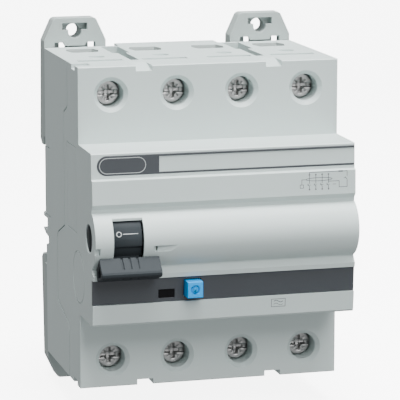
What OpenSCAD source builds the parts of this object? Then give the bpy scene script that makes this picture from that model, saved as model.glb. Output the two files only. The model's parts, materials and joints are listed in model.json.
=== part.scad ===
/* [Body] */
// Width of one pole, four poles side by side
pole_pitch = 17.8; // [17.6:0.1:17.9]
// Height of the body between its top and bottom faces
body_h = 86.3; // [86:0.1:88]
// Depth from the shoulder face back to the rail seat
seat_depth = 44; // [44:0.5:45]
// Height of the raised nose on the front
nose_h = 45.5; // [45:0.1:45.7]

/* [Toggle] */
// Outer radius of the barrel that covers the toggle drum
barrel_r = 8.0; // [7.9:0.05:8.1]
// Width of the toggle's finger paddle
paddle_w = 16; // [14:0.5:16]
// Angle of the contact arms either side of upright, open to closed
arm_swing = 12; // [11:0.5:12]

/* [Terminals] */
// Radius of the screwdriver hole over each terminal screw
driver_hole_r = 3.6; // [3.4:0.1:3.8]
// Distance of the terminal screws from the top or bottom face
screw_inset = 7.5; // [7:0.1:8]
// Radius of a terminal screw's threaded shank
shank_r = 2.45; // [2.3:0.05:2.45]

/* [Rail clips] */
// Width of one rail clip
clip_w = 17.6; // [17:0.1:17.6]
// Radius of the fixing hole in each clip
clip_hole_r = 1.85; // [1.6:0.05:2.1]

/* [Test button] */
// Width of the test button's cap
button_w = 4.2; // [3.8:0.1:4.3]
// Height of the test button's cap
button_h = 4.35; // [4:0.05:4.45]

/* [Hidden] */
$fn = 48;

hw = 2 * pole_pitch;            // half the width
hz = body_h / 2;                // half the height
nz = nose_h / 2;                // half the nose height
wall = 1.8;                     // moulded wall
iw = hw - wall;                 // half the inner width
sz = hz - screw_inset;          // height of the terminal screws off centre
px = [for (i = [0:3]) (i - 1.5) * pole_pitch];   // pole centres
ay = -11.8;                     // toggle axis, ahead of the shoulder
by = 14;                        // contact shaft axis, depth
bz = -5.5;                      // contact shaft axis, height
crank_r = 3;                    // link hole off the toggle axis
lever_r = 9;                    // link eye off the contact shaft axis
p0 = [ay + crank_r * cos(110), crank_r * sin(110)];
q0 = [by + lever_r * cos(90 + arm_swing), bz + lever_r * sin(90 + arm_swing)];
ty = 27;                        // toroid axis, depth
tz = -16.8;                     // toroid middle, height
ly = 6;                         // trip lever axis, depth
lz = -2;                        // trip lever axis, height

light = [0.74, 0.77, 0.77];
dark = [0.20, 0.21, 0.24];
grip = [0.29, 0.31, 0.33];
steel = [0.62, 0.62, 0.62];
copper = [0.80, 0.50, 0.30];

// the seam between cover and base, depth and height, from top to bottom
seam = [[13.5, hz], [13.9, 30.85], [18.3, 28.95], [18.4, -2.15], [26.8, -5.45],
    [28.2, -7.15], [28.2, -24.85], [15, -28.25], [13.5, -30.15], [14, -hz]];

// moves parts drawn from the shoulder face back to the rail seat origin
module seat() translate([0, -seat_depth, 0]) children();
module along_x(x0, x1) translate([x0, 0, 0]) rotate([90, 0, 90])
    linear_extrude(height = x1 - x0) children();
module bx(x0, x1, y0, y1, z0, z1) translate([x0, y0, z0]) cube([x1 - x0, y1 - y0, z1 - z0]);
module xcyl(r, x0, x1, y, z) translate([x0, y, z]) rotate([0, 90, 0]) cylinder(r = r, h = x1 - x0);
module ycyl(r, y0, y1, x, z) translate([x, y0, z]) rotate([-90, 0, 0]) cylinder(r = r, h = y1 - y0);
module zcyl(r, z0, z1, x, y) translate([x, y, z0]) cylinder(r = r, h = z1 - z0);
module both_ends() { children(); mirror([0, 0, 1]) children(); }
module both_sides() { children(); mirror([1, 0, 0]) children(); }

// the seam run on past both ends, and the mitred corner direction at each of its points
last = len(seam) - 1;
path = concat([1.1 * seam[0] - 0.1 * seam[1]], [for (i = [1:last - 1]) seam[i]],
    [1.1 * seam[last] - 0.1 * seam[last - 1]]);
function unit(v) = v / norm(v);
function mitre(i) = let (u = unit(path[max(i, 1)] - path[max(i, 1) - 1]),
    v = unit(path[min(i, last - 1) + 1] - path[min(i, last - 1)]),
    t = unit(u + v)) [-t[1], t[0]] / (t * u);

// shallow groove that follows the seam on both side faces
module seam_groove(w, d) both_sides() along_x(-hw - 1, d - hw)
    polygon(concat([for (i = [0:last]) path[i] + mitre(i) * w / 2],
        [for (i = [last:-1:0]) path[i] - mitre(i) * w / 2]));

// slots, dimples and notches shared by the top and bottom faces
module end_face_cuts() both_ends() {
    for (x = px) {
        bx(x - 6.15, x + 6.15, 11.4, 14.4, hz - 1.4, hz + 1);
        zcyl(2.2, hz - 0.6, hz + 1, x + 0.95, 21);
    }
    both_sides() {
        bx(-18.5, -16.2, 11.8, 27.6, 31.4, hz + 1);
        bx(-20, -15.1, 27.5, 42, 31.4, hz + 1);
        along_x(-pole_pitch - 2.2, -pole_pitch + 2.2)
            polygon([[6.85, hz], [-1, hz - 1.72], [-1, hz + 1], [6.85, hz + 1]]);
    }
    bx(-hw - 1, -hw + 4.3, 3.9, 8, hz - 1.3, hz + 1);
}

module rivet_places() both_ends() {
    translate([0, 0, 33]) children();
    both_sides() translate([-17.55, 0, 29.3]) children();
}

module front_cover() color(light) seat() difference() {
    union() {
        along_x(-hw, hw) polygon(concat([[0.2, hz]], seam, [[0.2, -hz], [0, 0.2 - hz], [0, hz - 0.2]]));
        along_x(-hw, hw) polygon([[1, nz + 0.1], [-14.7, nz], [-14.95, nz - 0.25], [-15.15, 16.05],
            [-16.05, 15.7], [-16.25, 9.45], [-15.2, 8.15], [-15.1, 6], [-15.1, -7.7],
            [-16.35, -9.2], [-16.2, -10.5], [-15.85, -17.05], [-15.3, 0.5 - nz], [-14.8, -nz], [1, -nz - 0.1]]);
        xcyl(barrel_r, -hw, hw, ay, 0);
    }
    // inner hollow, nose hollow and the inside of the barrel
    difference() {
        union() {
            bx(-iw, iw, wall, 30, -27.4, 27.4);
            along_x(-iw, iw) polygon([[2, nz - 1.9], [-13.1, nz - 1.9], [-13.3, 16], [-13.6, 8],
                [-13.3, -9], [-13.3, 1.9 - nz], [2, 1.9 - nz]]);
            xcyl(7.3, -iw, -19, ay, 0);
            xcyl(6.4, -20, iw, ay, 0);
        }
        // open-backed bearing cheek for the toggle's right-hand stub
        difference() {
            bx(-20.6, -19.4, -20, 9.4, -7.2, 4);
            xcyl(1.56, -21, -19, ay, 0);
            bx(-21, -19, ay, 2, -1.56, 1.56);
        }
        // guide sleeve for the test button
        difference() {
            bx(-12.4, -5.4, -16, -7, -17.2, -10.05);
            bx(-8.9 - button_w / 2 - 0.2, -8.9 + button_w / 2 + 0.2, -17, -6, -13.63 - button_h / 2 - 0.2, -13.63 + button_h / 2 + 0.2);
        }
        // post for the opening spring
        bx(16.9, 18.5, 1, 2.4, -28, 3);
        // shelf that carries the relay board
        bx(-14, 17.1, -19, -9.5, -1.2, -0.05);
        bx(15.9, 17.1, -19, 0.9, -1.2, 3);
    }
    // toggle window, with a flat ledge over its top edge
    bx(-30.75, -22.75, -21, -17.1, -7.6, 6.3);
    bx(-30.75, -22.75, -21, -14, -7.6, 5.3);
    // side hole for coupling an accessory to the toggle hub
    xcyl(3.86, -hw - 1, -iw + 1, ay, 0);
    // pointed slot and corner notch on the barrel
    translate([0, 0, -2.75]) linear_extrude(height = 1.6)
        polygon([[-20.1, -18.5], [-20.1, -21], [-13.4, -21], [-13.6, -19.75], [-16, -19.2]]);
    bx(-hw - 1, -34.3, -21, -18.4, -3.0, -1.2);
    // recess for the front band, with the button and flag openings
    bx(-hw - 1, hw + 1, -18, -14.6, -17.1, -10.45);
    bx(-8.9 - button_w / 2 - 0.2, -8.9 + button_w / 2 + 0.2, -17, -12, -13.63 - button_h / 2 - 0.2, -13.63 + button_h / 2 + 0.2);
    bx(-18.05, -13.65, -17, -12, -16, -13.65);
    // recess for the label frame
    translate([0, -14.72, 0]) rotate([90, 0, 0]) linear_extrude(height = 2) label_shape(0.03);
    // screwdriver holes and the pockets that hold the screw flanges
    both_ends() for (x = px) {
        ycyl(driver_hole_r, -1, 7, x, sz);
        translate([x, -0.01, sz]) rotate([-90, 0, 0]) cylinder(r1 = driver_hole_r + 1.08, r2 = driver_hole_r, h = 1.1);
        ycyl(4.6, 6.7, 16, x, sz);
    }
    end_face_cuts();
    seam_groove(0.5, 0.6);
    // printed-field outline and moulded ring on the side faces
    both_sides() {
        for (z = [-1.45, 21.4]) bx(-hw - 1, 0.2 - hw, 3.1, 14.7, z, z + 0.25);
        for (y = [3.1, 14.45]) bx(-hw - 1, 0.2 - hw, y, y + 0.25, -1.45, 21.65);
        difference() {
            xcyl(7.1, -hw - 1, 0.2 - hw, 1, -12.85);
            xcyl(6.85, -hw - 2, 1 - hw, 1, -12.85);
        }
    }
    rivet_places() ycyl(1.25, 5.5, 20, 0, 0);
}

module base_housing() color(light) seat() difference() {
    union() {
        difference() {
            union() {
                along_x(-hw, hw) polygon(concat(seam, [[43.3, -hz], [43.3, -12.3], [40.3, -11.4],
                    [40.3, -9.7], [44.2, -9.2], [46.65, -8.4], [46.65, -3.4], [44, -3.3], [44, 16],
                    [43.3, 16.1], [43.3, hz]]));
                both_ends() bx(-14.4, 14.4, 43, 48.9, 17.9, hz);
            }
            bx(-iw, iw, -5, 38.4, -27.4, 27.4);
            both_ends() for (x = px) {
                bx(x - 5.15, x + 5.15, 14.6, 41.2, 29.6, 41.6);
                bx(x - 4.2, x + 4.2, 28.5, 32, 27, 30);
                translate([0, 0, 41]) linear_extrude(height = 4)
                    translate([x, 0]) polygon([[-4.6, 35], [-3.6, 31], [3.6, 31], [4.6, 35], [3.6, 38.9], [-3.6, 38.9]]);
            }
            end_face_cuts();
            seam_groove(0.5, 0.6);
            both_sides() {
                bx(-hw - 1, 1 - hw, 41.6, 47, -7.9, -4.6);
                bx(-hw - 1, 0.3 - hw, 37.3, 45, 15.75, 16);
                bx(-hw - 1, 0.3 - hw, 37, 47, -3.55, -3.3);
            }
        }
        // collars behind the terminal screw flanges
        both_ends() for (x = px) ycyl(4.3, 8.55, 14.7, x, sz);
        // bearing cheeks for the contact shaft
        both_sides() bx(-iw + 0.1, -iw + 1.9, 10, 38.6, -10, -1);
        // barriers between the poles
        for (x = [-pole_pitch, 0, pole_pitch]) {
            bx(x - 0.6, x + 0.6, 8, 38.6, 8.4, 27.3);
            bx(x - 0.6, x + 0.6, 18.6, 38.6, 8.4, 27.6);
        }
        // guide rails for the rail clips
        both_ends() both_sides() {
            bx(-29.2, -24.4, 43, 46, 22, 38);
            bx(-30.2, -23.4, 44.9, 46, 22, 38);
        }
    }
    both_ends() for (x = px) ycyl(2.7, 8, 15, x, sz);
    both_sides() xcyl(2.06, -iw - 1, -iw + 3, by, bz);
    rivet_places() ycyl(1.25, 5, 60, 0, 0);
    both_ends() ycyl(2.35, 47.8, 60, 0, 33);
    both_ends() both_sides() ycyl(1.65, 41.8, 60, -17.55, 29.3);
}

module front_band() color(dark) seat() difference() {
    along_x(-hw, hw) polygon([[-14.62, -10.5], [-15.75, -10.5], [-15.35, -17.05], [-14.62, -17.05]]);
    bx(-8.9 - button_w / 2 - 0.25, -8.9 + button_w / 2 + 0.25, -17, -12, -13.63 - button_h / 2 - 0.25, -13.63 + button_h / 2 + 0.25);
    bx(-18.05, -13.65, -17, -12, -16, -13.65);
}

// pill-ended frame with a long open field
module label_shape(g) difference() {
    union() {
        translate([-31.5, 19.43]) circle(r = 2.57 + g);
        translate([-31.5, 16.86 - g]) square([31.5 + hw, 5.14 + 2 * g]);
    }
    translate([-17.6 + g, 17.35 + g]) square([hw + 20, 4.15 - 2 * g]);
}

module label_frame() color(dark) seat() translate([0, -14.75, 0]) rotate([90, 0, 0])
    linear_extrude(height = 0.42) label_shape(0);

// sector of the drum's raised legend land, angles above the horizontal
module drum_land(e0, e1) intersection() {
    difference() {
        xcyl(7.0, -30.55, -22.95, ay, 0);
        xcyl(6.2, -31, -23, ay, 0);
    }
    along_x(-31, -23) translate([ay, 0]) polygon(concat([[0, 0]],
        [for (k = [0:4]) let (e = e0 + (e1 - e0) * k / 4) [-12 * cos(e), 12 * sin(e)]]));
}

module toggle_handle() color(grip) seat() difference() {
    union() {
        xcyl(6.4, -30.55, -22.95, ay, 0);
        drum_land(-11, 62);
        drum_land(-142, -70);
        xcyl(3.8, 0.3 - hw, -30, ay, 0);
        xcyl(1.5, -23.2, -19.2, ay, 0);
        // stem through the window
        along_x(-30.55, -22.95) polygon([[ay - 3.83, -3.2], [-18.7, -5.8], [-16.75, -7.3], [ay - 2.8, -4.15]]);
        // finger paddle
        difference() {
            along_x(-pole_pitch * 1.5 - paddle_w / 2, -pole_pitch * 1.5 + paddle_w / 2) polygon([[-18.6, -3.35],
                [-19.15, -3.7], [-22.65, -7.0], [-22.95, -7.5], [-22.9, -8.2], [-22.4, -8.75],
                [-17.35, -10.4], [-17.0, -10.2], [-16.0, -6.5]]);
            xcyl(barrel_r + 0.45, -36, -17, ay, 0);
        }
    }
    xcyl(0.85, -25.7, -22, p0[0], p0[1]);
    bx(-hw - 1, -34.2, ay - 0.65, ay + 0.65, -4, 4);
    // grip grooves on the paddle's face and under its lip
    for (x = [-28.75, -26.7, -24.65]) {
        translate([x - 0.22, -19.15, -3.7]) rotate([43.3, 0, 0]) translate([0, -3.85, -0.45]) cube([0.44, 4.7, 1.5]);
        bx(x - 0.22, x + 0.22, -22.3, -20.6, -9.8, -8.45);
    }
    // pockets in the paddle's ends
    both_pockets();
}

module both_pockets() for (s = [-1, 1])
    translate([-pole_pitch * 1.5 + s * paddle_w / 2, 0, 0]) along_x(-2, 2)
        polygon([[-19.6, -5.8], [-21.3, -7.6], [-20.9, -8.4], [-18.2, -9.2], [-17.9, -8.2]]);

// round-wire coil spring along +X from the origin, built from half turns that
// tilt alternately so that each one starts where the last one ends
module coil(r, w, len, turns) {
    rise = (len - 2 * w) / (2 * turns);
    t = asin(rise / 2 / r);
    for (i = [0:2 * turns - 1])
        translate([w + (i + 0.5) * rise, 0, 0]) rotate([0, 90, 0])
            rotate([0, i % 2 == 0 ? t : -t, 0]) rotate([0, 0, i % 2 == 0 ? 0 : 180])
                rotate_extrude(angle = 180) translate([r, 0]) circle(r = w, $fn = 16);
}

module toggle_spring() color(steel) seat() translate([-33.6, ay, 0]) coil(4.6, 0.3, 2.9, 3);

module test_button() color([0.22, 0.62, 0.84]) seat() difference() {
    union() {
        bx(-8.9 - button_w / 2, -8.9 + button_w / 2, -18.9, -6, -13.63 - button_h / 2, -13.63 + button_h / 2);
        bx(-11.75, -6.05, -6.85, -6, -16.5, -10.75);
    }
    ycyl(1.75, -10, -5, -8.9, -13.63);
    // engraved ring mark on the cap
    difference() {
        ycyl(1.15, -20, -18.65, -8.9, -13.63);
        ycyl(0.8, -20, -18, -8.9, -13.63);
    }
}

module test_button_spring() color(steel) seat() translate([-8.9, -9.95, -13.63])
    rotate([0, 0, 90]) coil(1.3, 0.2, 7.9, 6);

module test_contact_blade() color(copper) seat() {
    bx(-13, -5, -2.0, -1.5, -18.5, -9);
    bx(-13, -12.4, -1.55, 4, -18.5, -14);
}

module test_resistor() color([0.55, 0.36, 0.24]) seat() {
    xcyl(1.5, -10.5, -2.5, 3.5, -15);
    xcyl(0.3, -12.35, 0, 3.5, -15);
}

module fault_flag() color([0.09, 0.09, 0.1]) seat() {
    bx(-18.6, -13.1, -13.15, -12.4, -19, -8.5);
    bx(-17.0, -14.6, -12.5, -9.3, -9.3, -8.5);
}

module flag_window() color([0.05, 0.05, 0.06]) seat() bx(-18.0, -13.7, -15.42, -14.7, -15.95, -13.7);

// terminal screw with a slotted cross head
module screw(x) translate([x, 0, 0]) difference() {
    union() {
        ycyl(3.2, 5, 7.5, 0, 0);
        ycyl(4.3, 6.85, 8.4, 0, 0);
        ycyl(shank_r, 8.3, 28.6, 0, 0);
    }
    bx(-4, 4, 4, 6.1, -0.62, 0.62);
    bx(-0.5, 0.5, 4, 6.7, -2.1, 2.1);
    bx(-2.1, 2.1, 4, 6.7, -0.5, 0.5);
    translate([0, 4.99, 0]) rotate([-90, 0, 0]) cylinder(r1 = 1.35, r2 = 0.6, h = 1.9);
    // shallow driver marks between the arms
    for (a = [45:90:315]) rotate([0, a, 0]) bx(1.2, 2.2, 4, 5.3, -0.14, 0.14);
}
module line_screw(i) color(steel) seat() translate([0, 0, sz]) screw(px[i]);
module load_screw(i) color(steel) seat() translate([0, 0, -sz]) screw(px[i]);

// clamp cage that runs on the screw
module cage(x) translate([x, 0, 0]) difference() {
    bx(-4.9, 4.9, 21.5, 40.6, -4.2, 4.2);
    bx(-4, 4, 24.1, 39, -5, 5);
    ycyl(2.5, 20, 25, 0, 0);
}
module line_cage(i) color([0.70, 0.70, 0.68]) seat() translate([0, 0, sz]) cage(px[i]);
module load_cage(i) color([0.70, 0.70, 0.68]) seat() translate([0, 0, -sz]) cage(px[i]);

// rail clip with its hook down, fixing hole up, centred on x = 0
module clip() difference() {
    union() {
        intersection() {
            along_x(-clip_w / 2, clip_w / 2) polygon([[43.6, 51.3], [48.1, 51.3], [48.7, 50.7], [48.7, 45],
                [50.35, 17.05], [48.2, 15.6], [45.5, 15.6], [45.4, 18], [43.6, 18]]);
            translate([0, 60, 0]) rotate([90, 0, 0]) linear_extrude(height = 30) polygon([[-clip_w / 2, 15],
                [clip_w / 2, 15], [clip_w / 2, 45], [6.25, 50.55], [5.9, 51], [5.3, 51.3], [-5.3, 51.3],
                [-5.9, 51], [-6.25, 50.55], [-clip_w / 2, 45]]);
        }
        // boss round the fixing hole, on the clip's back
        ycyl(3.0, 48, 50.3, 0, 47.5);
    }
    bx(-2.65, 2.65, 43, 46.3, 17, 38.5);
    bx(-3.65, 3.65, 44.65, 46.3, 17, 38.5);
    ycyl(clip_hole_r, 43, 51, 0, 47.5);
    bx(-3.5, 3.5, 43, 46.6, 47.95, 49.8);
    // release slot with a tongue in its mouth and two openings behind it
    difference() {
        bx(-5.77, 5.77, 43, 46.3, 42.5, 44.45);
        translate([0, 44.6, 0]) rotate([90, 0, 0]) linear_extrude(height = 2)
            polygon([[-2.85, 43.45], [2.85, 43.45], [3.5, 44.6], [-3.5, 44.6]]);
    }
    bx(-3.95, -1.95, 46.2, 50, 42.5, 44.45);
    bx(4.3, 6.46, 46.2, 50, 42.5, 44.45);
}
module rail_clip(s, top) color([0.70, 0.73, 0.73]) seat()
    mirror([0, 0, top ? 0 : 1]) translate([s * (hw - clip_w / 2), 0, 0]) clip();

module toroid_core() color([0.30, 0.30, 0.33]) seat() translate([0, ty, tz]) difference() {
    cylinder(r = 10.2, h = 8.4, center = true);
    cylinder(r = 5.7, h = 10, center = true);
}
module toroid_winding() color(copper) seat() translate([0, ty, tz]) difference() {
    cylinder(r = 11, h = 10, center = true);
    cylinder(r = 4.9, h = 12, center = true);
    difference() {
        cylinder(r = 10.25, h = 8.5, center = true);
        cylinder(r = 5.65, h = 12, center = true);
    }
    for (a = [0:15:345]) rotate([0, 0, a]) translate([10.8, -0.2, -6]) cube([1, 0.4, 12]);
}

module line_contact(i) color(copper) seat() {
    x = px[i];
    bx(x - 3.7, x + 3.7, 29.5, 31, 24.5, 41.3);
    bx(x - 3.7, x + 3.7, 19.2, 31, 24.5, 26);
    bx(x - 3, x + 3, 19.2, 20.7, 3, 26);
    translate([x, by, bz]) rotate([-arm_swing, 0, 0]) ycyl(2, 1.65, 2.9, 0, 12);
}

// insulated conductor from the contact side, through the toroid, to the load terminal
module load_conductor(i) color([0.78, 0.42, 0.25]) seat() {
    x = px[i];
    outer = abs(x) > 20;
    s = sign(x);
    y = outer ? ty - 1.9 : ty + 1.9;
    z = outer ? -9.0 : -5.7;
    x0 = min(x, s * 1.9); x1 = max(x, s * 1.9);
    w = 1.35;
    bx(x - 2.5, x + 2.5, 21.4, 22.5, -11, -4);
    ycyl(w, 22.4, y, x, z);
    xcyl(w, x0, x1, y, z);
    zcyl(w, -24.9, z, s * 1.9, y);
    xcyl(w, x0, x1, y, -24.9);
    for (p = [[x, z], [s * 1.9, z], [x, -24.9], [s * 1.9, -24.9]]) translate([p[0], y, p[1]]) sphere(r = w);
    ycyl(w, y, 29.6, x, -24.9);
    bx(x - 3.7, x + 3.7, 29.5, 31, -41.3, -23.4);
}

module contact_carrier() color([0.16, 0.16, 0.17]) seat() translate([0, by, bz]) rotate([arm_swing, 0, 0]) difference() {
    union() {
        xcyl(3.2, -iw + 2.2, iw - 2.2, 0, 0);
        xcyl(2.0, -iw + 0.4, iw - 0.4, 0, 0);
        for (x = px) bx(x - 4, x + 4, -2.2, 2.2, 0, 4.5);
        bx(-20.4, -18.8, -2, 2, 0, lever_r);
        xcyl(2.4, -20.4, -18.8, 0, lever_r);
        bx(17, 18.4, -1.4, 1.4, 0, 7.5);
    }
    for (x = px) bx(x - 3.04, x + 3.04, -0.64, 0.64, 0.4, 6);
    xcyl(1.55, -21, -18, 0, lever_r);
    xcyl(0.5, 16, 19, 0, 6.3);
}

module moving_contact(i) color(copper) seat() translate([px[i], by, bz]) rotate([arm_swing, 0, 0]) {
    bx(-3, 3, -0.6, 0.6, 0.45, 13.4);
    ycyl(1.9, 0.5, 1.5, 0, 12);
}

module contact_braids() color([0.85, 0.58, 0.40]) seat() for (x = px) along_x(x - 2, x + 2)
    polygon([[20.5, -7], [21.35, -7], [21.35, -1.2], [19.4, 0.8], [13.55, 0.8], [13.65, 0.05], [19.1, 0.05], [20.5, -1.5]]);

module mechanism_frame() color(steel) seat() difference() {
    union() {
        bx(-19.35, -18.35, 3, 9, -6.2, 2);
        bx(-0.4, 0.6, 3, 9, -6.2, 2);
        bx(-19.35, 0.6, 3, 9, -6.2, -5.2);
    }
    xcyl(1.02, -20, 2, ly, lz);
}

module drive_link() color([0.75, 0.75, 0.77]) seat() {
    n = norm(q0 - p0);
    a = atan2(q0[1] - p0[1], q0[0] - p0[0]);
    xcyl(0.8, -25.5, -21.8, p0[0], p0[1]);
    translate([-21.8, p0[0], p0[1]]) rotate([a, 0, 0]) rotate([-90, 0, 0]) cylinder(r = 0.8, h = n);
    translate([-21.8, p0[0], p0[1]]) sphere(r = 0.8);
    translate([-21.8, q0[0], q0[1]]) sphere(r = 0.8);
    xcyl(0.7, -21.8, -18.2, q0[0], q0[1]);
}

module trip_lever() color([0.85, 0.84, 0.78]) seat() difference() {
    union() {
        xcyl(1.9, -18.2, -0.6, ly, lz);
        along_x(-5, -1) polygon([[ly + 1, lz], [ly - 1, lz - 1], [2.3, 1.8], [2.3, 9.5], [3.4, 9.5], [3.4, 2.4]]);
        along_x(-16.6, -15) polygon([[ly, lz + 1.5], [-8.4, -9.6], [-9.8, -10.15], [-10.2, -10.6], [-9.4, -11.3], [ly, lz - 1.5]]);
        along_x(-16.6, -15) polygon([[ly, lz + 1.6], [10, 1.5], [10.5, 0.6], [ly + 1.5, lz - 1]]);
    }
    xcyl(1.06, -19, 0, ly, lz);
}

module trip_pivot_pin() color(steel) seat() xcyl(1.0, -19.35, 0.6, ly, lz);

module relay_housing() color([0.13, 0.13, 0.14]) seat() difference() {
    bx(-12, 6, -11.5, 1, 1.5, 15.5);
    bx(-11, 5, -10.5, 0, 2.5, 14.5);
    ycyl(1.6, -1, 2, -3, 8.5);
}
module relay_coil() color(copper) seat() difference() {
    ycyl(5.4, -9.8, -2.5, -3, 8.5);
    ycyl(1.6, -10, -2, -3, 8.5);
}
module relay_plunger() color(steel) seat() {
    ycyl(1.2, -9.8, 1.9, -3, 8.5);
    ycyl(3.2, -2.2, -1.7, -3, 8.5);
}
module relay_board() color([0.20, 0.42, 0.26]) seat() {
    bx(-13, 15.8, -11.5, 1.5, 0, 1.4);
    zcyl(2.4, 1.3, 8, 12, -7);
    zcyl(2.4, 1.3, 8, 12, -1.5);
    bx(6.8, 9, -9.5, -5.5, 1.3, 4);
}

module opening_spring() color(steel) seat() translate([17.7, 2.45, 0.85]) rotate([0, 0, 90]) coil(1.5, 0.25, 8.5, 8);

module arc_plates() color([0.55, 0.55, 0.56]) seat() for (x = px) for (z = [9:3:21])
    difference() {
        bx(x - 6.9, x + 6.9, 8.2, 18.2, z, z + 0.8);
        bx(x - 1.5, x + 1.5, 11, 19, z - 1, z + 2);
    }

module housing_rivets() color(steel) seat() {
    both_ends() {
        ycyl(1.2, 5.6, 48.4, 0, 33);
        ycyl(2.3, 47.85, 48.6, 0, 33);
        both_sides() {
            ycyl(1.2, 5.6, 43, -17.55, 29.3);
            ycyl(1.6, 41.85, 43, -17.55, 29.3);
        }
    }
}

base_housing();
front_cover();
front_band();
label_frame();
toggle_handle();
toggle_spring();
test_button();
test_button_spring();
test_contact_blade();
test_resistor();
fault_flag();
flag_window();
line_screw(0);  // line_screw_1
line_screw(1);  // line_screw_2
line_screw(2);  // line_screw_3
line_screw(3);  // line_screw_4
load_screw(0);  // load_screw_1
load_screw(1);  // load_screw_2
load_screw(2);  // load_screw_3
load_screw(3);  // load_screw_4
line_cage(0);  // line_cage_1
line_cage(1);  // line_cage_2
line_cage(2);  // line_cage_3
line_cage(3);  // line_cage_4
load_cage(0);  // load_cage_1
load_cage(1);  // load_cage_2
load_cage(2);  // load_cage_3
load_cage(3);  // load_cage_4
rail_clip(-1, true);  // rail_clip_top_left
rail_clip(1, true);  // rail_clip_top_right
rail_clip(-1, false);  // rail_clip_bottom_left
rail_clip(1, false);  // rail_clip_bottom_right
toroid_core();
toroid_winding();
line_contact(0);  // line_contact_1
line_contact(1);  // line_contact_2
line_contact(2);  // line_contact_3
line_contact(3);  // line_contact_4
load_conductor(0);  // load_conductor_1
load_conductor(1);  // load_conductor_2
load_conductor(2);  // load_conductor_3
load_conductor(3);  // load_conductor_4
contact_carrier();
moving_contact(0);  // moving_contact_1
moving_contact(1);  // moving_contact_2
moving_contact(2);  // moving_contact_3
moving_contact(3);  // moving_contact_4
contact_braids();
mechanism_frame();
drive_link();
trip_lever();
trip_pivot_pin();
relay_housing();
relay_coil();
relay_plunger();
relay_board();
opening_spring();
arc_plates();
housing_rivets();
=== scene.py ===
import json
import math

import bmesh
import bpy
from mathutils import Matrix, Vector


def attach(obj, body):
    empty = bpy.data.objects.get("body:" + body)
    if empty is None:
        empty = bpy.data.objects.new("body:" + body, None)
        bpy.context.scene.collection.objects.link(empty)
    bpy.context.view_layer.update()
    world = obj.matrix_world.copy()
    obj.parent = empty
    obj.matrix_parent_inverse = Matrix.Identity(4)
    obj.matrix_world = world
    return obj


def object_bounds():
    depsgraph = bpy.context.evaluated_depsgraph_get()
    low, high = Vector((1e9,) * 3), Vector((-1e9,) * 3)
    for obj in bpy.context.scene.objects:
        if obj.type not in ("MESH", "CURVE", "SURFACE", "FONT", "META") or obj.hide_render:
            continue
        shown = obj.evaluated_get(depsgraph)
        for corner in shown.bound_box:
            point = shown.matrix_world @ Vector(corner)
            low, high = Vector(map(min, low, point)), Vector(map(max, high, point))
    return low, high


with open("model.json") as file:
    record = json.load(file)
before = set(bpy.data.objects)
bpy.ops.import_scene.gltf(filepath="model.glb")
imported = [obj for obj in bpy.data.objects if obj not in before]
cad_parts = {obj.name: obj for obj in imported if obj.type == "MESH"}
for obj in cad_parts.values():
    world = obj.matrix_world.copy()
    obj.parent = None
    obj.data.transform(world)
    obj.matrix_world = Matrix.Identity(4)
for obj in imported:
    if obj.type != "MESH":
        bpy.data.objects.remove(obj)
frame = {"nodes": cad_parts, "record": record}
cad_box = [list(v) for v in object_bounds()]
nodes = frame["nodes"]

MM = 0.001
SHOULDER = -44.0          # depth of the shoulder plane in the row frame, mm
TOGGLE_Y = -55.8          # toggle axis, mm
PX = [-26.7, -8.9, 8.9, 26.7]
SZ = 35.65


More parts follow.
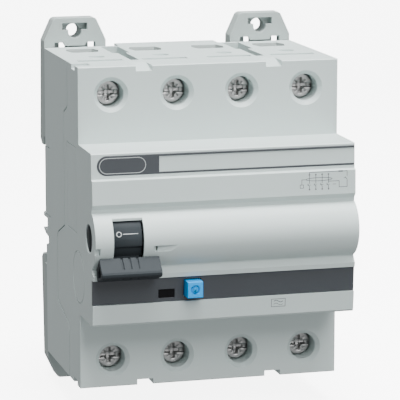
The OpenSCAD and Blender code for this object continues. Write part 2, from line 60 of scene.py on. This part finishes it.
# ---------------------------------------------------------------- materials
class Graph:
    def __init__(self, name):
        self.mat = bpy.data.materials.new(name)
        self.mat.use_nodes = True
        self.tree = self.mat.node_tree
        self.tree.nodes.clear()
        self.out = self.node("ShaderNodeOutputMaterial")
        self.bsdf = self.node("ShaderNodeBsdfPrincipled")
        self.link(self.bsdf.outputs["BSDF"], self.out.inputs["Surface"])
        self.coords = self.node("ShaderNodeTexCoord").outputs["Object"]

    def node(self, kind, **props):
        n = self.tree.nodes.new(kind)
        for k, v in props.items():
            setattr(n, k, v)
        return n

    def link(self, a, b):
        self.tree.links.new(a, b)

    def mapping(self, scale, rotation=(0, 0, 0)):
        m = self.node("ShaderNodeMapping")
        m.inputs["Scale"].default_value = scale
        m.inputs["Rotation"].default_value = rotation
        self.link(self.coords, m.inputs["Vector"])
        return m.outputs["Vector"]

    def noise(self, scale, detail=3.0, rough=0.55, vector=None):
        n = self.node("ShaderNodeTexNoise")
        n.inputs["Scale"].default_value = scale
        n.inputs["Detail"].default_value = detail
        n.inputs["Roughness"].default_value = rough
        self.link(vector or self.coords, n.inputs["Vector"])
        return n.outputs["Fac"]

    def remap(self, value, a, b, c, d):
        n = self.node("ShaderNodeMapRange", clamp=True)
        self.link(value, n.inputs["Value"])
        for key, v in zip(("From Min", "From Max", "To Min", "To Max"), (a, b, c, d)):
            n.inputs[key].default_value = v
        return n.outputs["Result"]

    def math(self, op, a, b):
        n = self.node("ShaderNodeMath", operation=op)
        for i, v in enumerate((a, b)):
            if isinstance(v, (int, float)):
                n.inputs[i].default_value = v
            else:
                self.link(v, n.inputs[i])
        return n.outputs["Value"]

    def mix(self, fac, a, b):
        n = self.node("ShaderNodeMix", data_type="RGBA")
        self.link(fac, n.inputs["Factor"])
        for key, v in (("A", a), ("B", b)):
            socket = [s for s in n.inputs if s.name == key and s.type == "RGBA"][0]
            if isinstance(v, tuple):
                socket.default_value = (*v, 1.0)
            else:
                self.link(v, socket)
        return [s for s in n.outputs if s.type == "RGBA"][0]

    def edges(self, radius):
        """1 along sharp edges, 0 on open faces."""
        bev = self.node("ShaderNodeBevel", samples=6)
        bev.inputs["Radius"].default_value = radius
        geo = self.node("ShaderNodeNewGeometry")
        dot = self.node("ShaderNodeVectorMath", operation="DOT_PRODUCT")
        self.link(bev.outputs["Normal"], dot.inputs[0])
        self.link(geo.outputs["Normal"], dot.inputs[1])
        return self.remap(dot.outputs["Value"], 0.998, 0.9, 0.0, 1.0)

    def rounded(self, radius):
        """Normal that runs smoothly over edges, as a small moulding radius does."""
        bev = self.node("ShaderNodeBevel", samples=8)
        bev.inputs["Radius"].default_value = radius
        return bev.outputs["Normal"]

    def bump(self, height, strength, distance, normal=None):
        n = self.node("ShaderNodeBump")
        n.inputs["Strength"].default_value = strength
        n.inputs["Distance"].default_value = distance
        self.link(height, n.inputs["Height"])
        if normal is not None:
            self.link(normal, n.inputs["Normal"])
        return n.outputs["Normal"]


def scaled(c, k):
    return tuple(min(v * k, 1.0) for v in c)


def plastic(name, color, rough=0.45, tone=0.03, grain=0.25, wear=0.35, worn=1.12, coat=0.0, specular=0.5, radius=0.0):
    g = Graph(name)
    cloud = g.noise(55, 4)
    speck = g.noise(1600, 2)
    grains = g.noise(9000, 2, 0.6)
    blend = g.math("ADD", g.math("MULTIPLY", cloud, 0.7), g.math("MULTIPLY", speck, 0.3))
    base = g.mix(g.remap(blend, 0.3, 0.7, 0.0, 1.0), scaled(color, 1 - tone), scaled(color, 1 + tone))
    edge = g.math("MULTIPLY", g.edges(0.00035), g.remap(g.noise(420, 3), 0.35, 0.65, 0.3, 1.0))
    base = g.mix(g.math("MULTIPLY", edge, wear), base, scaled(color, worn))
    g.link(base, g.bsdf.inputs["Base Color"])
    r = g.remap(g.math("ADD", g.math("MULTIPLY", cloud, 0.5), g.math("MULTIPLY", speck, 0.5)), 0.3, 0.7, rough - 0.05, rough + 0.06)
    g.link(r, g.bsdf.inputs["Roughness"])
    over = g.rounded(radius) if radius else None
    g.link(g.bump(grains, grain, 0.00003, g.bump(speck, grain * 0.6, 0.00003, over)), g.bsdf.inputs["Normal"])
    g.bsdf.inputs["Metallic"].default_value = 0.0
    g.bsdf.inputs["IOR"].default_value = 1.5
    g.bsdf.inputs["Specular IOR Level"].default_value = specular
    if coat:
        g.bsdf.inputs["Coat Weight"].default_value = coat
        g.bsdf.inputs["Coat Roughness"].default_value = 0.12
    return g.mat


def metal(name, color, rough=0.32, stretch=(1, 1, 1), dull=0.75, scratch=0.25, radius=0.0):
    g = Graph(name)
    lines = g.noise(700, 3, 0.6, g.mapping(stretch))
    cloud = g.noise(160, 4)
    pits = g.noise(5000, 2)
    stain = g.mix(g.remap(cloud, 0.35, 0.7, 0.0, 1.0), color, scaled(color, dull))
    streak = g.mix(g.remap(lines, 0.3, 0.7, 0.0, 0.5), stain, scaled(color, 1.08))
    edge = g.math("MULTIPLY", g.edges(0.00025), g.remap(g.noise(900, 3), 0.3, 0.7, 0.2, 1.0))
    g.link(g.mix(g.math("MULTIPLY", edge, 0.6), streak, scaled(color, 1.3)), g.bsdf.inputs["Base Color"])
    r = g.remap(g.math("ADD", g.math("MULTIPLY", lines, 0.6), g.math("MULTIPLY", cloud, 0.4)), 0.3, 0.7, rough - 0.08, rough + 0.12)
    g.link(r, g.bsdf.inputs["Roughness"])
    over = g.rounded(radius) if radius else None
    g.link(g.bump(lines, scratch, 0.00002, g.bump(pits, 0.15, 0.00001, over)), g.bsdf.inputs["Normal"])
    g.bsdf.inputs["Metallic"].default_value = 1.0
    return g.mat


def ink(name, color, rough=0.5):
    """Printed line: slightly uneven coverage."""
    g = Graph(name)
    cover = g.noise(2500, 3, 0.7)
    g.link(g.mix(g.remap(cover, 0.3, 0.75, 0.0, 1.0), color, scaled(color, 1.25)), g.bsdf.inputs["Base Color"])
    g.link(g.remap(g.noise(900, 2), 0.3, 0.7, rough - 0.06, rough + 0.08), g.bsdf.inputs["Roughness"])
    g.link(g.bump(cover, 0.2, 0.00001), g.bsdf.inputs["Normal"])
    return g.mat


MATS = {
    "light_plastic": plastic("light_plastic", (0.512, 0.590, 0.578), rough=0.46, tone=0.02, radius=0.00012),
    # clip_plastic: the housing's light plastic with its colour darkened, painted shade for the shade on the clips'
    # front faces
    "clip_plastic": plastic("clip_plastic", (0.360, 0.412, 0.402), rough=0.50, tone=0.02),
    "dark_plastic": plastic("dark_plastic", (0.043, 0.049, 0.056), rough=0.44, tone=0.05, worn=1.7),
    "grip_plastic": plastic("grip_plastic", (0.028, 0.034, 0.038), rough=0.55, tone=0.05, worn=1.6, specular=0.10),
    "blue_plastic": plastic("blue_plastic", (0.004, 0.330, 0.800), rough=0.42, tone=0.03, grain=0.1, worn=1.15, specular=0.12),
    "black_plastic": plastic("black_plastic", (0.014, 0.014, 0.015), rough=0.42, tone=0.06, worn=2.0),
    "cream_plastic": plastic("cream_plastic", (0.72, 0.69, 0.56), rough=0.45, tone=0.04),
    "board": plastic("board", (0.025, 0.13, 0.055), rough=0.35, tone=0.12, coat=0.4),
    "resistor_body": plastic("resistor_body", (0.30, 0.17, 0.09), rough=0.35, tone=0.08, coat=0.5),
    "smoked_plastic": plastic("smoked_plastic", (0.006, 0.006, 0.0066), rough=0.28, tone=0.08, grain=0.05, worn=1.6, specular=0.06),
    "plated_steel": metal("plated_steel", (0.44, 0.44, 0.435), rough=0.30, stretch=(1, 1, 9), radius=0.0005),
    "cage_steel": metal("cage_steel", (0.56, 0.53, 0.46), rough=0.36, stretch=(9, 1, 1)),
    "spring_steel": metal("spring_steel", (0.45, 0.45, 0.47), rough=0.25, stretch=(6, 1, 1)),
    "copper": metal("copper", (0.78, 0.40, 0.22), rough=0.28, stretch=(1, 1, 7), dull=0.6),
    "core_metal": metal("core_metal", (0.20, 0.20, 0.22), rough=0.42, stretch=(1, 1, 14)),
}
SLOT = {s["node"]: s["material_slot"] for s in frame["record"]["subparts"]}
BEVEL = {"clip_plastic": 0.16, "dark_plastic": 0.08, "grip_plastic": 0.20, "blue_plastic": 0.26,
         "cage_steel": 0.15}


def soften(obj, mm, segments=2):
    """Welds the per-face mesh, rounds its sharp edges and keeps the shading of its curved faces."""
    w = obj.modifiers.new("weld", "WELD")
    w.merge_threshold = 1e-6
    b = obj.modifiers.new("edges", "BEVEL")
    b.width = mm * MM
    b.segments = segments
    b.limit_method = "ANGLE"
    b.angle_limit = math.radians(38)
    b.use_clamp_overlap = False
    b.harden_normals = True


for name, obj in nodes.items():
    obj.data.materials.clear()
    obj.data.materials.append(MATS[SLOT[name]])
    if SLOT[name] in BEVEL:
        soften(obj, BEVEL[SLOT[name]])


# ---------------------------------------------------------------- pieces
def mesh_piece(name, verts, faces, mat, body, smooth=False):
    me = bpy.data.meshes.new(name)
    me.from_pydata([Vector(v) * MM for v in verts], [], faces)
    me.materials.append(mat)
    bm = bmesh.new()
    bm.from_mesh(me)
    bmesh.ops.remove_doubles(bm, verts=bm.verts, dist=1e-7)
    bmesh.ops.recalc_face_normals(bm, faces=bm.faces)
    for f in bm.faces:
        f.smooth = smooth
    bm.to_mesh(me)
    bm.free()
    ob = bpy.data.objects.new(name, me)
    bpy.context.scene.collection.objects.link(ob)
    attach(ob, body)
    return ob


def strip(points, width, thick, place, closed=False):
    """A raised line of the given width through 2-D points; place(u, v, h) gives the 3-D point h above the surface."""
    n = len(points)
    pts = [Vector(p) for p in points]
    left, right = [], []
    for i, p in enumerate(pts):
        a = pts[i - 1] if (i > 0 or closed) else p
        b = pts[(i + 1) % n] if (i < n - 1 or closed) else p
        d1 = (p - a).normalized() if (p - a).length > 1e-9 else (b - p).normalized()
        d2 = (b - p).normalized() if (b - p).length > 1e-9 else d1
        t = (d1 + d2).normalized()
        nrm = Vector((-t.y, t.x))
        k = 1.0 / max(nrm.dot(Vector((-d2.y, d2.x))), 0.35)
        left.append(p + nrm * width / 2 * k)
        right.append(p - nrm * width / 2 * k)
    verts, faces = [], []
    for q in (left, right):
        for h in (-0.01, thick):
            verts += [place(v.x, v.y, h) for v in q]
    for i in range(n if closed else n - 1):
        j = (i + 1) % n
        lb, lt, rb, rt = 0, n, 2 * n, 3 * n
        faces += [(lt + i, lt + j, rt + j, rt + i), (lb + i, rb + i, rb + j, lb + j),
                  (lb + i, lb + j, lt + j, lt + i), (rb + i, rt + i, rt + j, rb + j)]
    if not closed:
        for i in (0, n - 1):
            faces.append((i, n + i, 3 * n + i, 2 * n + i))
    return verts, faces


def joined(parts):
    verts, faces = [], []
    for v, f in parts:
        k = len(verts)
        verts += v
        faces += [tuple(i + k for i in face) for face in f]
    return verts, faces


def arc(cx, cz, r, a0, a1, n):
    return [(cx + r * math.cos(math.radians(a0 + (a1 - a0) * i / n)), cz + r * math.sin(math.radians(a0 + (a1 - a0) * i / n))) for i in range(n + 1)]


white_ink = ink("white_ink", (0.50, 0.54, 0.54))
dark_ink = ink("dark_ink", (0.055, 0.060, 0.070))

# light pill outline on the label frame's blank field
label_front = SHOULDER - 15.17
pill = arc(-31.42, 19.43, 2.0, 90, 270, 16) + arc(-23.2, 19.43, 2.0, -90, 90, 16)
v, f = strip(pill, 0.13, 0.02, lambda u, w, h: (u, label_front - h, w), closed=True)
mesh_piece("label_outline", v, f, white_ink, "housing")


# ring and bar on the drum: off at rest, on when the toggle is up
def on_drum(r):
    def place(u, s, h):
        a = s / r
        return (u, TOGGLE_Y - (r + h) * math.cos(a), (r + h) * math.sin(a))
    return place


drum = on_drum(7.0)
off_mid = math.radians(17.5) * 7.0
ring = arc(-29.15, off_mid, 0.62, 0, 360, 40)[:-1]
v, f = joined([strip(ring, 0.17, 0.02, drum, closed=True),
               strip([(-28.1 + 0.4 * i, off_mid) for i in range(11)], 0.16, 0.02, drum)])
mesh_piece("drum_mark_off", v, f, white_ink, "toggle")
on_mid = math.radians(-102) * 7.0
v, f = joined([strip([(-29.15, on_mid - 0.65 + 1.3 * i / 6) for i in range(7)], 0.17, 0.02, drum),
               strip([(-28.1 + 0.4 * i, on_mid) for i in range(11)], 0.16, 0.02, drum)])
mesh_piece("drum_mark_on", v, f, white_ink, "toggle")


# plain line diagram of four switched poles through a ring, on the nose
def on_panel(u, z, h):
    return (u, SHOULDER - 16.05 - 0.2 * (15.7 - z) / 6.25 - h, z)


def poly(points, width=0.14):
    return strip(points, width, 0.015, on_panel)


x0, z0 = 20.2, 10.75
parts = []
for i in range(4):
    x = x0 + 2.6 + i * 1.75
    parts.append(poly([(x, z0 + 4.1), (x, z0 + 1.75)]))
    parts.append(poly([(x, z0 + 0.2), (x, z0 + 1.0)]))
    parts.append(poly([(x, z0 + 1.0), (x - 0.5, z0 + 1.75)]))
    parts.append(strip(arc(x, z0 + 4.1, 0.16, 0, 360, 12)[:-1], 0.12, 0.015, on_panel, closed=True))
    parts.append(strip(arc(x, z0 + 0.2, 0.16, 0, 360, 12)[:-1], 0.12, 0.015, on_panel, closed=True))
ell = [(x0 + 5.25 + 3.6 * math.cos(math.radians(a)), z0 + 2.85 + 0.42 * math.sin(math.radians(a))) for a in range(0, 360, 12)]
parts.append(strip(ell, 0.13, 0.015, on_panel, closed=True))
parts.append(poly([(x0 + 1.65, z0 + 2.85), (x0 + 0.5, z0 + 2.85), (x0 + 0.5, z0 + 1.55)]))
parts.append(strip([(x0 + 0.05, z0 + 0.65), (x0 + 0.95, z0 + 0.65), (x0 + 0.95, z0 + 1.5), (x0 + 0.05, z0 + 1.5)], 0.13, 0.015, on_panel, closed=True))
for i in range(5):
    x = x0 + 2.0 + i * 1.75
    parts.append(poly([(x, z0 + 1.38), (x + 0.95, z0 + 1.38)], 0.11))
parts.append(poly([(x0 + 2.6, z0 + 4.75), (x0 + 13.0, z0 + 4.75), (x0 + 13.0, z0 + 3.3)]))
parts.append(poly([(x0 + 2.6, z0 + 4.75), (x0 + 2.6, z0 + 4.26)]))
parts.append(strip([(x0 + 10.6, z0 + 4.75), (x0 + 11.8, z0 + 4.75)], 0.34, 0.015, on_panel))
parts.append(poly([(x0 + 13.0, z0 + 2.5), (x0 + 13.0, z0 + 0.55), (x0 + 10.8, z0 + 0.55), (x0 + 10.8, z0 + 2.2), (x0 + 7.9, z0 + 2.2)]))
parts.append(poly([(x0 + 13.0, z0 + 2.5), (x0 + 12.45, z0 + 3.2)]))
parts.append(poly([(x0 + 12.1, z0 + 2.95), (x0 + 12.6, z0 + 2.95)], 0.11))
v, f = joined(parts)
mesh_piece("line_diagram", v, f, dark_ink, "housing")


# boxed wave symbol under the dark band
def on_skirt(u, z, h):
    t = (z + 17.05) / (-22.25 + 17.05)
    return (u, SHOULDER - 15.85 + 0.55 * t - h, z)


wx, wz = 14.6, -19.1
parts = [strip([(wx - 1.9, wz - 1.05), (wx + 1.9, wz - 1.05), (wx + 1.9, wz + 1.05), (wx - 1.9, wz + 1.05)], 0.13, 0.015, on_skirt, closed=True)]
for dz in (0.42, -0.38):
    parts.append(strip([(wx - 1.25 + 2.5 * i / 24, wz + dz + 0.26 * math.sin(2 * math.pi * i / 24)) for i in range(25)], 0.16 if dz > 0 else 0.11, 0.015, on_skirt))
v, f = joined(parts)
mesh_piece("wave_symbol", v, f, dark_ink, "housing")


# ---------------------------------------------------------------- stage, light and camera
def backdrop():
    floor_z = cad_box[0][2]
    prof = [(-1.6, floor_z), (0.55, floor_z)]
    prof += [(0.55 + 0.35 * math.sin(math.radians(a)), floor_z + 0.35 - 0.35 * math.cos(math.radians(a))) for a in range(6, 91, 6)]
    prof += [(0.90, floor_z + 2.2)]
    verts, faces = [], []
    for x in (-2.2, 2.2):
        verts += [(x, y, z) for y, z in prof]
    n = len(prof)
    for i in range(n - 1):
        faces.append((i, i + 1, n + i + 1, n + i))
    me = bpy.data.meshes.new("backdrop")
    me.from_pydata(verts, [], faces)
    for p in me.polygons:
        p.use_smooth = True
    g = Graph("backdrop_paper")
    tone = g.noise(3.0, 2)
    g.link(g.mix(g.remap(tone, 0.3, 0.7, 0.0, 1.0), (0.84, 0.845, 0.845), (0.88, 0.88, 0.88)), g.bsdf.inputs["Base Color"])
    g.bsdf.inputs["Roughness"].default_value = 0.9
    g.bsdf.inputs["Emission Color"].default_value = (1.0, 1.0, 1.0, 1.0)
    g.bsdf.inputs["Emission Strength"].default_value = 6.0
    me.materials.append(g.mat)
    ob = bpy.data.objects.new("backdrop", me)
    ob.visible_diffuse = False
    ob.visible_glossy = False
    bpy.context.scene.collection.objects.link(ob)
    return ob


backdrop()


def area(name, pos, target, size, power, color=(1, 1, 1)):
    data = bpy.data.lights.new(name, "AREA")
    data.shape = "RECTANGLE"
    data.size, data.size_y = size
    data.energy = power
    data.color = color
    ob = bpy.data.objects.new(name, data)
    ob.location = pos
    ob.rotation_euler = (Vector(target) - Vector(pos)).to_track_quat("-Z", "Y").to_euler()
    bpy.context.scene.collection.objects.link(ob)
    return ob


centre = (0, -0.03, 0)
area("top_key", (0.05, -0.20, 0.95), centre, (0.7, 0.55), 30.0)
area("front_key", (0.18, -0.85, 0.62), centre, (0.55, 0.45), 7.0)
area("low_fill", (0.10, -0.95, 0.06), centre, (0.60, 0.16), 1.2)

world = bpy.data.worlds.new("studio")
bpy.context.scene.world = world
world.use_nodes = True
bg = world.node_tree.nodes["Background"]
bg.inputs["Color"].default_value = (0.97, 0.985, 1.0, 1.0)
bg.inputs["Strength"].default_value = 0.46

cam_data = bpy.data.cameras.new("camera")
cam_data.sensor_width = 36.0
cam_data.lens = 218.68
cam_data.clip_start = 0.01
cam_data.clip_end = 20.0
cam = bpy.data.objects.new("camera", cam_data)
cam.location = (-0.16918, -0.65846, 0.12560)
forward = Vector((0.2572, 0.9487, -0.1839)).normalized()
right = forward.cross(Vector((0, 0, 1))).normalized()
up = right.cross(forward).normalized()
cam.matrix_world = Matrix.Translation(cam.location) @ Matrix((
    (right.x, up.x, -forward.x, 0), (right.y, up.y, -forward.y, 0), (right.z, up.z, -forward.z, 0), (0, 0, 0, 1)))
bpy.context.scene.collection.objects.link(cam)
bpy.context.scene.camera = cam
